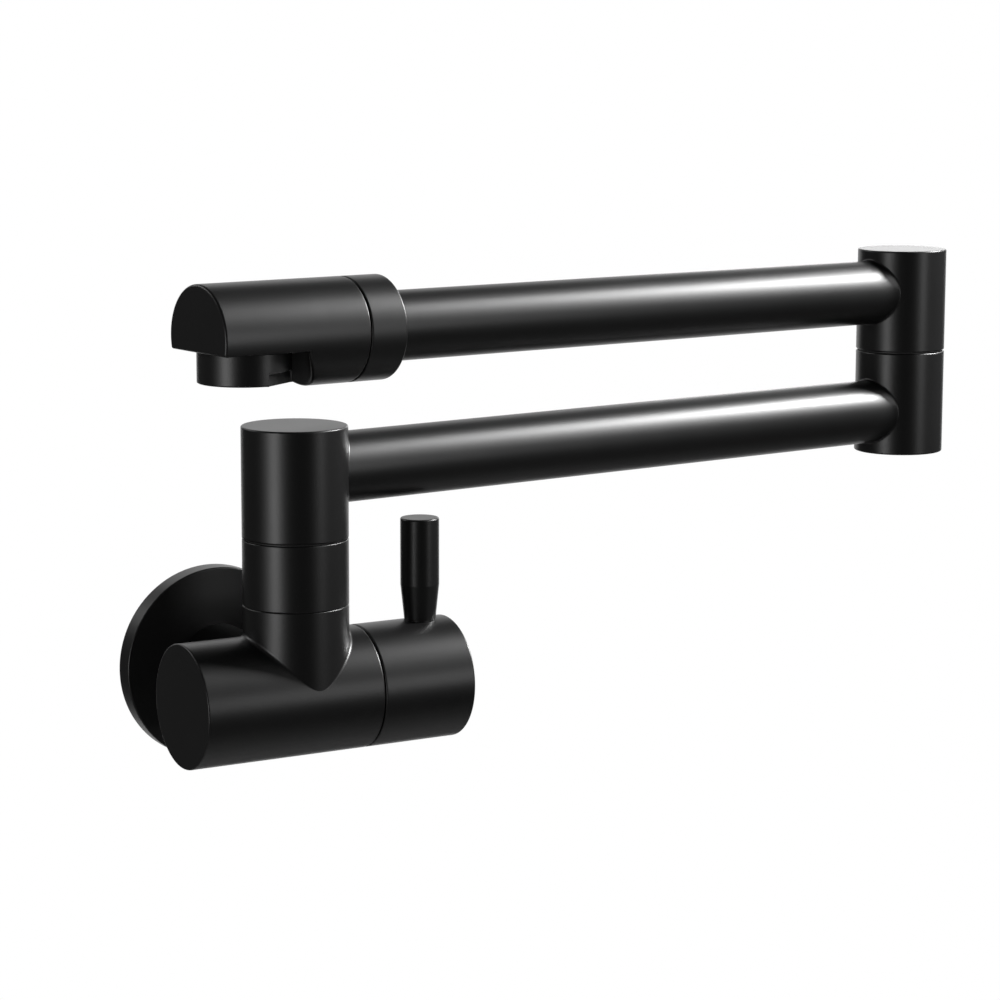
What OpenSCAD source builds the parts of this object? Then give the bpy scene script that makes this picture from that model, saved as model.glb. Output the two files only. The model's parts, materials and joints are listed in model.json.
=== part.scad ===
// Wall mounted pot filler: a quarter-turn valve body on a wall flange, two swinging arms one above
// the other, and a spout head with an aerator that points down.
// The origin is on the wall plane, on the axis of the inlet. +X is to the right, -Y is into the
// room and +Z is up. The arms stand as the photograph shows them, folded back over the body.

/* [Wall side] */
// Distance from the wall to the axis of the valve body
body_reach = 58; // [50:0.5:75]
// Diameter of the wall flange
flange_d = 62.8; // [56:0.1:75]
// Thickness of the wall flange
flange_t = 6.8; // [6:0.1:10]
// Thickness of the shell of the hollow flange
flange_wall = 2; // [1.5:0.1:2.5]
// Diameter of the neck between the flange and the valve body
neck_d = 26; // [25:0.1:30]
// Outer diameter of the pipe thread on the inlet nipple
inlet_thread_d = 20.96; // [19:0.01:21.5]
// Bore of the inlet nipple
inlet_bore_d = 13; // [9:0.1:14]
// Length of the nipple that goes into the wall
inlet_in_wall = 16; // [10:0.5:30]
// Length of the nipple that is screwed into the neck
inlet_in_neck = 12; // [8:0.5:14]

/* [Valve body] */
// Diameter of the valve body and of the handle hub
body_d = 38.4; // [37:0.1:44]
// Length of the body on the left of the riser axis
body_left = 37.5; // [30:0.5:50]
// Distance from the riser axis to the seam beside the handle hub
body_right = 22.2; // [20:0.1:26]
// Sideways shift of the riser from the inlet axis
riser_shift = 1.3; // [0:0.1:3]
// How far the riser axis stands in front of the body axis
riser_forward = 2.4; // [0:0.1:3]
// Depth of the cartridge in the body, from the seam to its seat
cartridge_depth = 27.3; // [27.3:0.1:30]

/* [Handle] */
// Length of the handle hub
hub_l = 31.6; // [28:0.1:36]
// Distance from the seam to the axis of the lever
lever_from_seam = 22.4; // [21:0.1:24]
// Diameter of the lever
lever_d = 12.2; // [10:0.1:14]
// Diameter of the lever where it meets the hub
lever_neck_d = 9.9; // [8:0.1:10]
// Height of the lever's top above the body axis
lever_top = 51.3; // [42:0.1:54]
// Height over which the lever tapers to its neck
lever_taper_h = 11; // [6:0.1:16]

/* [Riser] */
// Diameter of the riser
riser_d = 32.6; // [31:0.1:36]
// Height of the seam between the body and the riser sleeve
stub_top = 28.6; // [27:0.1:34]
// Height of the riser sleeve
sleeve_h = 20.5; // [18:0.1:26]
// Height of the swivel barrel above the sleeve
swivel_h = 34.5; // [33.5:0.1:40]
// Diameter of the hollow spigot on which the lower arm turns
spigot_d = 20; // [18:0.1:21]

/* [Arms] */
// Outer diameter of both arm tubes
tube_d = 22; // [20:0.1:22.4]
// Wall thickness of both arm tubes
tube_wall = 1.5; // [1:0.1:2]
// Distance from the riser axis to the elbow axis
arm_l = 255; // [200:1:320]
// Height of the lower arm's axis above the swivel seam
arm_rise = 20.24; // [19.8:0.02:21]
// Angle of the lower arm towards the wall at rest, in degrees
lower_angle = 6.57; // [0:0.01:9]
// Angle of the upper arm from the X axis at rest, in degrees
upper_angle = 5.52; // [0:0.01:12]

/* [Elbow] */
// Diameter of the elbow
elbow_d = 30.8; // [29.5:0.1:34]
// Height of the lower elbow barrel
elbow_lower_h = 35.8; // [35:0.1:42]
// Height of the upper elbow barrel
elbow_upper_h = 35.4; // [35:0.1:42]
// Distance from each closed end of the elbow to the arm's axis
elbow_end = 14.7; // [14.2:0.1:15]
// Diameter of the hollow post on which the upper arm turns
post_d = 16; // [15:0.1:17]

/* [Spout] */
// Diameter of the spout head and its collar
head_d = 32.7; // [31.5:0.1:36]
// Distance from the elbow axis to the collar
collar_start = 221.1; // [160:0.1:225]
// Length of the collar
collar_l = 13.1; // [11:0.1:20]
// Length of the spout head
head_l = 51.4; // [51:0.1:56]
// Distance from the head's end to the aerator axis
outlet_from_end = 16.1; // [15:0.1:16.6]
// Distance of the flat underside below the head's axis
flat_drop = 4.2; // [3.8:0.1:5]
// Diameter of the aerator
aerator_d = 28.7; // [26.5:0.1:29]
// Height of the aerator that shows under the head
aerator_h = 9.75; // [8:0.05:12]
// Outer diameter of the aerator's thread
aerator_thread_d = 24; // [22:0.1:24.4]

/* [Fits] */
// Radial clearance of parts that turn in each other
turn_gap = 0.06; // [0.02:0.01:0.09]
// Radial clearance of screwed, soldered and pushed-in parts
fixed_gap = 0.02; // [0.01:0.01:0.05]
// Clearance between faces that slide on each other
face_gap = 0.02; // [0.01:0.01:0.05]
// Width of the seams beside parts that turn
seam_gap = 0.4; // [0.3:0.05:0.6]
// Bevel on the outer edges of the metal parts
edge_bevel = 0.5; // [0.3:0.1:0.8]

/* [Hidden] */
$fn = 72;

// Colours
black_coat = [0.10, 0.10, 0.10];
raw_brass = [0.78, 0.62, 0.32];
steel = [0.72, 0.72, 0.74];
rubber = [0.06, 0.06, 0.06];
ceramic = [0.93, 0.92, 0.88];
plastic = [0.86, 0.86, 0.84];

// Small sizes that several pieces share
overrun = 1;
fine_bevel = 0.3;
seam_half = seam_gap / 2;
ring_section_d = 1.9;
ring_groove_w = 2.3;
ring_proud = 0.03;

// Wall side
neck_back = 2;
nipple_relief = 1;
nipple_relief_depth = 1.2;
nipple_bevel = 0.8;
inlet_washer_t = 2;
inlet_shoulder = neck_back + inlet_in_neck + inlet_washer_t;
boss_wall = 3.4;
boss_back = 1.4;
gasket_w = 5;

// Valve body
riser_x = riser_shift;
riser_y = -(body_reach + riser_forward);
seam_x = riser_x + body_right;
body_end_x = riser_x - body_left;
seat_x = seam_x - cartridge_depth;
way_d = 12;
left_way_d = 16;
left_way_l = 27;
slant_d = 6.4;
slant_start = [-3, 21];
slant_end = [-13, 5];
port_d = 10;

// Cartridge, measured along the body axis from its seat
chamber_d = 27;
cartridge_d = 23;
cartridge_wall = 1.55;
seal_t = 2.5;
disc_t = 3;
disc_slot_depth = 1;
disc_port_d = 5.2;
disc_port_circle_d = 11.2;
disc_tongue_w = 5.6;
spindle_foot_l = 5;
stem_d = 10;
spline_d = 8;
spline_l = 17.5;
spline_flat_depth = 0.6;
cartridge_flange_l = 4;
cartridge_flange_at = 17;
cartridge_nose_d = 15;
cartridge_nose_l = 4;
window_w = 8;
nut_d = 32;
nut_recess = 0.4;
disc_d = cartridge_d - 2 * cartridge_wall - 2 * turn_gap;
disc_moving_at = seal_t + disc_t + face_gap;
foot_at = disc_moving_at + disc_t - disc_slot_depth;
stem_at = disc_moving_at + disc_t + spindle_foot_l;
flange_end = cartridge_flange_at + cartridge_flange_l;
spline_at = flange_end + cartridge_nose_l + 2 * fine_bevel;
spline_end = spline_at + spline_l;
stem_ring_at = (stem_at + flange_end) / 2;

// Handle
hub_wall = 2.7;
hub_cavity_l = 5;
slip_ring_w = 2;
slip_ring_in = 1;
pocket_depth = 1.7;
stud_d = 6;
stud_l = 8;
grub_d = 4;
grub_l = 6;
grub_key_w = 2;
grub_key_depth = 2;
lever_x = seam_x + lever_from_seam;
hub_grub_x = seam_x + (hub_cavity_l + lever_from_seam - stud_d) / 2;

// Riser and wall swivel
sleeve_top = stub_top + sleeve_h;
riser_top = sleeve_top + swivel_h;
lower_arm_z = sleeve_top + arm_rise;
stub_thread_d = 27;
stub_thread_h = 9.5;
sleeve_lip = 5;
spigot_bottom = 18;
spigot_bore_d = 13;
spigot_foot_gap = 0.5;
snap_t = 2;
snap_play = 0.1;
snap_d = 25.6;
snap_depth = 0.9;
snap_slot_w = 3;
lip_z = sleeve_top - seam_half - sleeve_lip;
spigot_ring_pitch = 6;
spigot_ring_above_end = 5;
spigot_ring_z = spigot_bottom + spigot_ring_above_end;

// Arms and elbow
chamber_margin = 0.5;
tube_inset = 1.5;
tube_bore_d = tube_d - 2 * tube_wall;
elbow_x = riser_x + arm_l * cos(lower_angle);
elbow_y = riser_y + arm_l * sin(lower_angle);
elbow_bottom = lower_arm_z - elbow_end;
elbow_seam_z = elbow_bottom + elbow_lower_h;
elbow_top = elbow_seam_z + elbow_upper_h;
upper_arm_z = elbow_top - elbow_end;
half_chamber = tube_d / 2 + chamber_margin;
lower_chamber_top = lower_arm_z + half_chamber;
upper_chamber_floor = upper_arm_z - half_chamber;
// How far from the barrel's axis the sides of a tube enter it: its chamber is as wide
riser_tube_reach = sqrt(pow(riser_d / 2, 2) - pow(tube_d / 2, 2));
elbow_tube_reach = sqrt(pow(elbow_d / 2, 2) - pow(tube_d / 2, 2));
riser_tube_at = riser_tube_reach - tube_inset;
elbow_tube_at = elbow_tube_reach - tube_inset / 2;
barrel_chamber_d = 2 * riser_tube_reach;
elbow_chamber_d = 2 * elbow_tube_reach;
post_bore_d = 9;
post_below = chamber_margin / 2;
gland_wall = 2.9;
gland_thread_d = elbow_d - 2 * gland_wall;
gland_t = 3.7;
gland_recess = 0.2;
gland_play = 0.05;
post_snap_inset = 1;
post_snap_d = gland_thread_d - 2 * post_snap_inset;
washer_inset = 0.8;
gland_top = elbow_seam_z - seam_half - gland_recess;
post_snap_top = gland_top - gland_t - snap_play;
gland_floor = post_snap_top - snap_t - gland_play;
post_ring_low = (lower_chamber_top + gland_floor) / 2;
post_ring_high = gland_top - gland_t / 2;

// Spout, measured along the upper arm from the elbow axis
head_start = collar_start + collar_l;
head_end = head_start + head_l;
outlet_at = head_end - outlet_from_end;
socket_l = 8;
collar_bore_d = 14;
collar_spigot_d = 20;
// Round step round the aerator, and the pocket that ends a wall short of it
step_gap = 5.55;
step_at = outlet_at - aerator_d / 2 - step_gap;
step_wall = 2.2;
head_pocket_l = step_at - step_wall - head_start;
spigot_end_gap = 1.2;
collar_spigot_l = head_pocket_l - spigot_end_gap;
retaining_groove_at = 4.2;
retaining_groove_w = 4.4;
retaining_groove_depth = 1.4;
spout_ring_from_end = 2.3;
spout_ring_at = collar_spigot_l - spout_ring_from_end;
passage_d = 6;
head_cavity_d = 19;
head_cavity_top = 10;
aerator_neck_h = 6.4;
aerator_washer_t = 1.6;
aerator_bore_d = 20.4;
aerator_lip_t = 1.2;
aerator_lip_w = 1;
key_slot_w = 13;
key_slot_h = 4.1;
key_slot_depth = 1.8;
key_slot_angle = -56;
jet_d = 2.2;
jet_ring_pitch = 3.6;
jet_counts = [1, 6, 12];
insert_recess = 0.6;
flat_z = upper_arm_z - flat_drop;
neck_top_z = flat_z + aerator_neck_h;
ceiling_z = neck_top_z + aerator_washer_t;
passage_z = ceiling_z + passage_d / 2 + face_gap;

// Round solid along +Z with a bevel at each end
module bevelled_bar(d, h, bevel) {
    rotate_extrude()
        polygon([
            [0, 0], [d / 2 - bevel, 0], [d / 2, bevel], [d / 2, h - bevel], [d / 2 - bevel, h], [0, h]
        ]);
}

// Straight hole along +Z, longer than the wall that it goes through
module through_hole(d, from, to) {
    translate([0, 0, from - overrun])
        cylinder(d = d, h = to - from + 2 * overrun);
}

// Blind hole along +Z that starts exactly at one height and runs out past another
module open_hole(d, from, to) {
    translate([0, 0, from])
        cylinder(d = d, h = to - from + overrun);
}

// Flat ring along +Z
module flat_ring(outer_d, inner_d, h) {
    difference() {
        cylinder(d = outer_d, h = h);
        through_hole(inner_d, 0, h);
    }
}

// Groove round a shaft or inside a bore, centred on z
module ring_groove(outer_d, inner_d, w, z) {
    translate([0, 0, z - w / 2])
        flat_ring(outer_d, inner_d, w);
}

// Rubber ring on a shaft of diameter d, centred on z
module shaft_ring(d, z) {
    centre_r = d / 2 + ring_proud - ring_section_d / 2;
    translate([0, 0, z])
        rotate_extrude()
            translate([centre_r, 0])
                circle(d = ring_section_d);
}

// Groove that takes shaft_ring
module shaft_ring_groove(d, z) {
    groove_d = d + 2 * ring_proud - 2 * ring_section_d - 2 * fixed_gap;
    ring_groove(d + 2 * overrun, groove_d, ring_groove_w, z);
}

// Split ring that snaps into a groove of a shaft of diameter d
module snap_ring(outer_d, d, z) {
    translate([0, 0, z])
        difference() {
            flat_ring(outer_d, d - 2 * snap_depth + 2 * fixed_gap, snap_t);
            translate([0, -snap_slot_w / 2, -overrun])
                cube([outer_d, snap_slot_w, snap_t + 2 * overrun]);
        }
}

module snap_groove(d, z) {
    translate([0, 0, z - face_gap])
        flat_ring(d + 2 * overrun, d - 2 * snap_depth, snap_t + 2 * face_gap);
}

// Set screw along +Z with a hexagon socket in its outer end, which is at z = 0
module set_screw(length) {
    difference() {
        translate([0, 0, -length])
            bevelled_bar(grub_d, length, fine_bevel);
        translate([0, 0, -grub_key_depth])
            cylinder(d = grub_key_w, h = grub_key_depth + overrun, $fn = 6);
    }
}

// Places: local +Z runs from the wall into the room
module from_wall() {
    rotate([90, 0, 0])
        children();
}

// Local +Z runs along the body axis to the right, from the place x
module on_body_axis(x) {
    translate([x, -body_reach, 0])
        rotate([0, 90, 0])
            children();
}

module on_riser() {
    translate([riser_x, riser_y, 0])
        children();
}

module on_elbow() {
    translate([elbow_x, elbow_y, 0])
        children();
}

// Local +Z runs along the lower arm, away from the riser
module along_lower_arm() {
    translate([riser_x, riser_y, lower_arm_z])
        rotate([0, 0, lower_angle])
            rotate([0, 90, 0])
                children();
}

// Local +X runs along the upper arm, away from the elbow, and +Z is up
module upper_arm_frame() {
    translate([elbow_x, elbow_y, upper_arm_z])
        rotate([0, 0, 180 + upper_angle])
            children();
}

// Local +Z runs along the upper arm, away from the elbow
module along_upper_arm() {
    upper_arm_frame()
        rotate([0, 90, 0])
            children();
}

// Upright at the aerator
module on_outlet() {
    upper_arm_frame()
        translate([outlet_at, 0, -upper_arm_z])
            children();
}

// Waterway that slants from the neck to the left of the cartridge seat
module slanted_way() {
    run = [slant_end[0] - slant_start[0], slant_end[1] - slant_start[1]];
    translate([slant_start[0], slant_start[1] - body_reach, 0])
        rotate([0, 0, atan2(run[1], run[0])])
            rotate([0, 90, 0])
                cylinder(d = slant_d, h = norm(run));
}

module valve_body() {
    color(black_coat)
        difference() {
            union() {
                on_body_axis(body_end_x)
                    bevelled_bar(body_d, seam_x - seam_half - body_end_x, edge_bevel);
                on_riser()
                    bevelled_bar(riser_d, stub_top, fine_bevel);
                on_riser()
                    cylinder(d = stub_thread_d, h = stub_top + stub_thread_h);
                from_wall()
                    translate([0, 0, neck_back])
                        cylinder(d = neck_d, h = body_reach - neck_back);
            }
            // Cartridge chamber, the thread of its nut, and the waterway behind its seat
            on_body_axis(seat_x) {
                open_hole(chamber_d, 0, cartridge_depth);
                open_hole(nut_d + 2 * fixed_gap, flange_end, cartridge_depth);
            }
            on_body_axis(seat_x - left_way_l)
                cylinder(d = left_way_d, h = left_way_l + overrun);
            // Inlet from the wall
            from_wall() {
                through_hole(inlet_thread_d + 2 * fixed_gap, neck_back, inlet_shoulder - overrun);
                through_hole(way_d, neck_back, body_reach - slant_start[1] - overrun);
            }
            slanted_way();
            // Outlet up to the swivel
            on_riser() {
                open_hole(port_d, 0, spigot_bottom);
                open_hole(
                    spigot_d + 2 * turn_gap, spigot_bottom - spigot_foot_gap, stub_top + stub_thread_h
                );
            }
        }
}

module wall_flange() {
    inside_d = flange_d - 2 * flange_wall;
    boss_d = neck_d + 2 * boss_wall;
    color(black_coat)
        from_wall()
            difference() {
                rotate_extrude()
                    polygon([
                        [0, 0], [flange_d / 2, 0], [flange_d / 2, flange_t - edge_bevel],
                        [flange_d / 2 - edge_bevel, flange_t], [0, flange_t]
                    ]);
                translate([0, 0, -overrun])
                    flat_ring(inside_d, boss_d, flange_t - flange_wall + overrun);
                through_hole(boss_d + overrun, -overrun, boss_back - overrun);
                through_hole(neck_d + 2 * fixed_gap, 0, flange_t);
                ring_groove(neck_d + 2 * ring_section_d + 2 * fixed_gap, neck_d, ring_groove_w,
                    (boss_back + flange_t) / 2);
            }
}

// Rubber ring that holds the flange on the neck
module flange_o_ring() {
    color(rubber)
        from_wall()
            translate([0, 0, (boss_back + flange_t) / 2])
                rotate_extrude()
                    translate([neck_d / 2 + fixed_gap / 2 + ring_section_d / 2, 0])
                        circle(d = ring_section_d);
}

// Foam ring that seals the flange against the wall
module flange_gasket() {
    gasket_d = flange_d - 2 * flange_wall - 2 * fixed_gap;
    color(rubber)
        from_wall()
            flat_ring(gasket_d, gasket_d - 2 * gasket_w, flange_t - flange_wall);
}

module inlet_nipple() {
    length = inlet_in_wall + neck_back + inlet_in_neck;
    color(raw_brass)
        from_wall()
            difference() {
                translate([0, 0, -inlet_in_wall])
                    bevelled_bar(inlet_thread_d, length, nipple_bevel);
                through_hole(inlet_bore_d, -inlet_in_wall, length - inlet_in_wall);
                translate([0, 0, neck_back - nipple_relief])
                    flat_ring(inlet_thread_d + overrun, inlet_thread_d - 2 * nipple_relief_depth,
                        nipple_relief);
            }
}

module inlet_washer() {
    color(rubber)
        from_wall()
            translate([0, 0, inlet_shoulder - inlet_washer_t])
                flat_ring(inlet_thread_d, inlet_bore_d, inlet_washer_t);
}

module cartridge_housing() {
    inside_d = cartridge_d - 2 * cartridge_wall;
    color(raw_brass)
        on_body_axis(seat_x)
            difference() {
                union() {
                    cylinder(d = cartridge_d, h = flange_end);
                    translate([0, 0, cartridge_flange_at])
                        cylinder(d = chamber_d - 2 * fixed_gap, h = cartridge_flange_l);
                    cylinder(d = cartridge_nose_d, h = flange_end + cartridge_nose_l);
                }
                translate([0, 0, -overrun])
                    cylinder(d = inside_d, h = stem_at + face_gap + overrun);
                through_hole(stem_d + 2 * turn_gap, 0, flange_end + cartridge_nose_l);
                // Four side windows let the water out round the spindle's foot
                for (turn = [0, 90])
                    rotate([0, 0, turn])
                        translate([-window_w / 2, -cartridge_d, stem_at - spindle_foot_l])
                            cube([window_w, 2 * cartridge_d, spindle_foot_l]);
            }
}

module cartridge_seal() {
    color(rubber)
        on_body_axis(seat_x)
            flat_ring(disc_d, left_way_d, seal_t);
}

// Two ports on opposite sides of a ceramic disc, at an angle in degrees
module disc_ports(angle) {
    for (side = [0, 180])
        rotate([0, 0, angle + side])
            translate([disc_port_circle_d / 2, 0, 0])
                through_hole(disc_port_d, 0, disc_t);
}

module ceramic_disc_fixed() {
    color(ceramic)
        on_body_axis(seat_x + seal_t)
            difference() {
                cylinder(d = disc_d, h = disc_t);
                disc_ports(0);
            }
}

module ceramic_disc_moving() {
    slot_w = disc_tongue_w + 2 * fixed_gap;
    color(ceramic)
        on_body_axis(seat_x + disc_moving_at)
            difference() {
                cylinder(d = disc_d, h = disc_t);
                disc_ports(90);
                translate([-disc_d, -slot_w / 2, disc_t - disc_slot_depth])
                    cube([2 * disc_d, slot_w, disc_slot_depth + overrun]);
            }
}

module cartridge_spindle() {
    foot_l = stem_at - foot_at - face_gap;
    color(raw_brass)
        on_body_axis(seat_x)
            difference() {
                union() {
                    translate([0, 0, foot_at + face_gap])
                        intersection() {
                            cylinder(d = disc_d, h = foot_l);
                            translate([-disc_d, -disc_tongue_w / 2, 0])
                                cube([2 * disc_d, disc_tongue_w, foot_l]);
                        }
                    translate([0, 0, stem_at - spindle_foot_l / 2])
                        cylinder(d = stem_d, h = spline_at - stem_at + spindle_foot_l / 2);
                    translate([0, 0, spline_at - overrun])
                        cylinder(d = spline_d, h = spline_l + overrun);
                }
                shaft_ring_groove(stem_d, stem_ring_at);
                // Flat under the set screw, on the lower side
                translate([spline_d / 2 - spline_flat_depth, -spline_d, spline_at + fine_bevel])
                    cube([spline_d, 2 * spline_d, spline_l]);
            }
}

module spindle_o_ring() {
    color(rubber)
        on_body_axis(seat_x)
            shaft_ring(stem_d, stem_ring_at);
}

module cartridge_nut() {
    color(raw_brass)
        on_body_axis(seat_x + flange_end)
            flat_ring(nut_d, cartridge_nose_d + 2 * fixed_gap,
                cartridge_depth - flange_end - seam_half - nut_recess);
}

// Plastic ring in the seam between the body and the hub
module hub_slip_ring() {
    color(plastic)
        on_body_axis(seam_x - seam_half)
            flat_ring(body_d - 2 * slip_ring_in, body_d - 2 * slip_ring_in - 2 * slip_ring_w,
                seam_gap - face_gap);
}

module handle_hub() {
    color(black_coat)
        difference() {
            on_body_axis(seam_x + seam_half)
                bevelled_bar(body_d, hub_l - seam_half, edge_bevel);
            on_body_axis(seam_x)
                through_hole(body_d - 2 * hub_wall, 0, hub_cavity_l - overrun);
            on_body_axis(seam_x)
                cylinder(d = spline_d + 2 * fixed_gap, h = spline_end - cartridge_depth + face_gap);
            // Seat and thread of the lever
            translate([lever_x, -body_reach, body_d / 2 - pocket_depth])
                cylinder(d = lever_neck_d + 2 * fixed_gap, h = pocket_depth + overrun);
            translate([lever_x, -body_reach, body_d / 2 - pocket_depth - stud_l - face_gap])
                cylinder(d = stud_d + 2 * fixed_gap, h = stud_l + pocket_depth);
            // Thread of the set screw, from below
            translate([hub_grub_x, -body_reach, -body_d / 2 - overrun])
                cylinder(d = grub_d + 2 * fixed_gap, h = body_d / 2 + overrun);
        }
}

module handle_lever() {
    foot_z = body_d / 2 - pocket_depth;
    taper_top = body_d / 2 + lever_taper_h;
    color(black_coat)
        translate([lever_x, -body_reach, 0])
            union() {
                rotate_extrude()
                    polygon([
                        [0, foot_z], [lever_neck_d / 2, foot_z], [lever_neck_d / 2, body_d / 2],
                        [lever_d / 2, taper_top], [lever_d / 2, lever_top - edge_bevel],
                        [lever_d / 2 - edge_bevel, lever_top], [0, lever_top]
                    ]);
                translate([0, 0, foot_z - stud_l])
                    cylinder(d = stud_d, h = stud_l + overrun);
            }
}

module hub_grub_screw() {
    tip_z = -(spline_d / 2 - spline_flat_depth + face_gap);
    color(steel)
        translate([hub_grub_x, -body_reach, tip_z - grub_l])
            rotate([180, 0, 0])
                set_screw(grub_l);
}

module riser_sleeve() {
    color(black_coat)
        on_riser()
            difference() {
                translate([0, 0, stub_top])
                    bevelled_bar(riser_d, sleeve_h - seam_half, fine_bevel);
                translate([0, 0, stub_top - overrun])
                    cylinder(d = stub_thread_d + 2 * fixed_gap, h = lip_z - stub_top + overrun);
                through_hole(spigot_d + 2 * turn_gap, stub_top, sleeve_top);
            }
}

module swivel_spigot() {
    top = lower_arm_z - half_chamber;
    color(raw_brass)
        on_riser()
            difference() {
                translate([0, 0, spigot_bottom])
                    bevelled_bar(spigot_d, top - spigot_bottom, fine_bevel);
                through_hole(spigot_bore_d, spigot_bottom, top);
                snap_groove(spigot_d, lip_z - snap_play - snap_t);
                for (i = [0, 1])
                    shaft_ring_groove(spigot_d, spigot_ring_z + i * spigot_ring_pitch);
            }
}

module swivel_split_ring() {
    color(steel)
        on_riser()
            snap_ring(snap_d, spigot_d, lip_z - snap_play - snap_t);
}

module swivel_o_rings() {
    color(rubber)
        on_riser()
            for (i = [0, 1])
                shaft_ring(spigot_d, spigot_ring_z + i * spigot_ring_pitch);
}

module swivel_washer() {
    color(plastic)
        on_riser()
            translate([0, 0, sleeve_top - seam_half + face_gap])
                flat_ring(riser_d - 2 * washer_inset, spigot_d + 2 * fixed_gap, seam_gap - face_gap);
}

module swivel_barrel() {
    bottom = sleeve_top + seam_half;
    color(black_coat)
        difference() {
            on_riser()
                translate([0, 0, bottom])
                    bevelled_bar(riser_d, riser_top - bottom, edge_bevel);
            on_riser() {
                through_hole(spigot_d + 2 * fixed_gap, bottom, lower_arm_z - half_chamber);
                translate([0, 0, lower_arm_z - half_chamber])
                    cylinder(d = barrel_chamber_d, h = 2 * half_chamber);
            }
            along_lower_arm()
                open_hole(tube_d + 2 * fixed_gap, riser_tube_at, riser_d / 2);
        }
}

module lower_arm_tube() {
    color(black_coat)
        along_lower_arm()
            translate([0, 0, riser_tube_at])
                flat_ring(tube_d, tube_bore_d, arm_l - elbow_tube_at - riser_tube_at);
}

module elbow_lower_barrel() {
    top = elbow_seam_z - seam_half;
    color(black_coat)
        difference() {
            on_elbow()
                translate([0, 0, elbow_bottom])
                    bevelled_bar(elbow_d, top - elbow_bottom, edge_bevel);
            on_elbow() {
                translate([0, 0, lower_arm_z - half_chamber])
                    cylinder(d = elbow_chamber_d, h = 2 * half_chamber);
                open_hole(post_d + 2 * turn_gap, lower_arm_z, top);
                open_hole(gland_thread_d + 2 * fixed_gap, gland_floor, top);
            }
            along_lower_arm()
                translate([0, 0, arm_l - elbow_d / 2 - overrun])
                    cylinder(d = tube_d + 2 * fixed_gap, h = elbow_d / 2 + overrun - elbow_tube_at);
        }
}

// Screwed ring that keeps the elbow post in the lower barrel
module elbow_gland_nut() {
    color(raw_brass)
        on_elbow()
            translate([0, 0, gland_top - gland_t])
                flat_ring(gland_thread_d, post_d + 2 * turn_gap, gland_t);
}

module elbow_washer() {
    color(plastic)
        on_elbow()
            translate([0, 0, elbow_seam_z - seam_half])
                flat_ring(elbow_d - 2 * washer_inset, gland_thread_d + 2 * fixed_gap,
                    seam_gap - face_gap);
}

module elbow_post() {
    bottom = lower_chamber_top - post_below;
    color(raw_brass)
        on_elbow()
            difference() {
                translate([0, 0, bottom])
                    bevelled_bar(post_d, upper_chamber_floor - bottom, fine_bevel);
                through_hole(post_bore_d, bottom, upper_chamber_floor);
                snap_groove(post_d, post_snap_top - snap_t);
                shaft_ring_groove(post_d, post_ring_low);
                shaft_ring_groove(post_d, post_ring_high);
            }
}

module elbow_split_ring() {
    color(steel)
        on_elbow()
            snap_ring(post_snap_d, post_d, post_snap_top - snap_t);
}

module elbow_o_rings() {
    color(rubber)
        on_elbow() {
            shaft_ring(post_d, post_ring_low);
            shaft_ring(post_d, post_ring_high);
        }
}

module elbow_upper_barrel() {
    bottom = elbow_seam_z + seam_half;
    color(black_coat)
        difference() {
            on_elbow()
                translate([0, 0, bottom])
                    bevelled_bar(elbow_d, elbow_top - bottom, edge_bevel);
            on_elbow() {
                through_hole(post_d + 2 * fixed_gap, bottom, upper_chamber_floor);
                translate([0, 0, upper_chamber_floor])
                    cylinder(d = elbow_chamber_d, h = 2 * half_chamber);
            }
            along_upper_arm()
                open_hole(tube_d + 2 * fixed_gap, elbow_tube_at, elbow_d / 2);
        }
}

module upper_arm_tube() {
    color(black_coat)
        along_upper_arm()
            translate([0, 0, elbow_tube_at])
                flat_ring(tube_d, tube_bore_d, collar_start + socket_l - elbow_tube_at);
}

module spout_collar() {
    color(black_coat)
        along_upper_arm()
            difference() {
                union() {
                    translate([0, 0, collar_start])
                        bevelled_bar(head_d, collar_l - seam_half, edge_bevel);
                    translate([0, 0, head_start - seam_gap])
                        cylinder(d = collar_spigot_d, h = collar_spigot_l + seam_gap);
                }
                translate([0, 0, collar_start - overrun])
                    cylinder(d = tube_d + 2 * fixed_gap, h = socket_l + overrun);
                through_hole(collar_bore_d, collar_start, head_start + collar_spigot_l);
                ring_groove(collar_spigot_d + overrun, collar_spigot_d - 2 * retaining_groove_depth,
                    retaining_groove_w, head_start + retaining_groove_at);
                shaft_ring_groove(collar_spigot_d, head_start + spout_ring_at);
            }
}

module spout_o_ring() {
    color(rubber)
        along_upper_arm()
            shaft_ring(collar_spigot_d, head_start + spout_ring_at);
}

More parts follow.
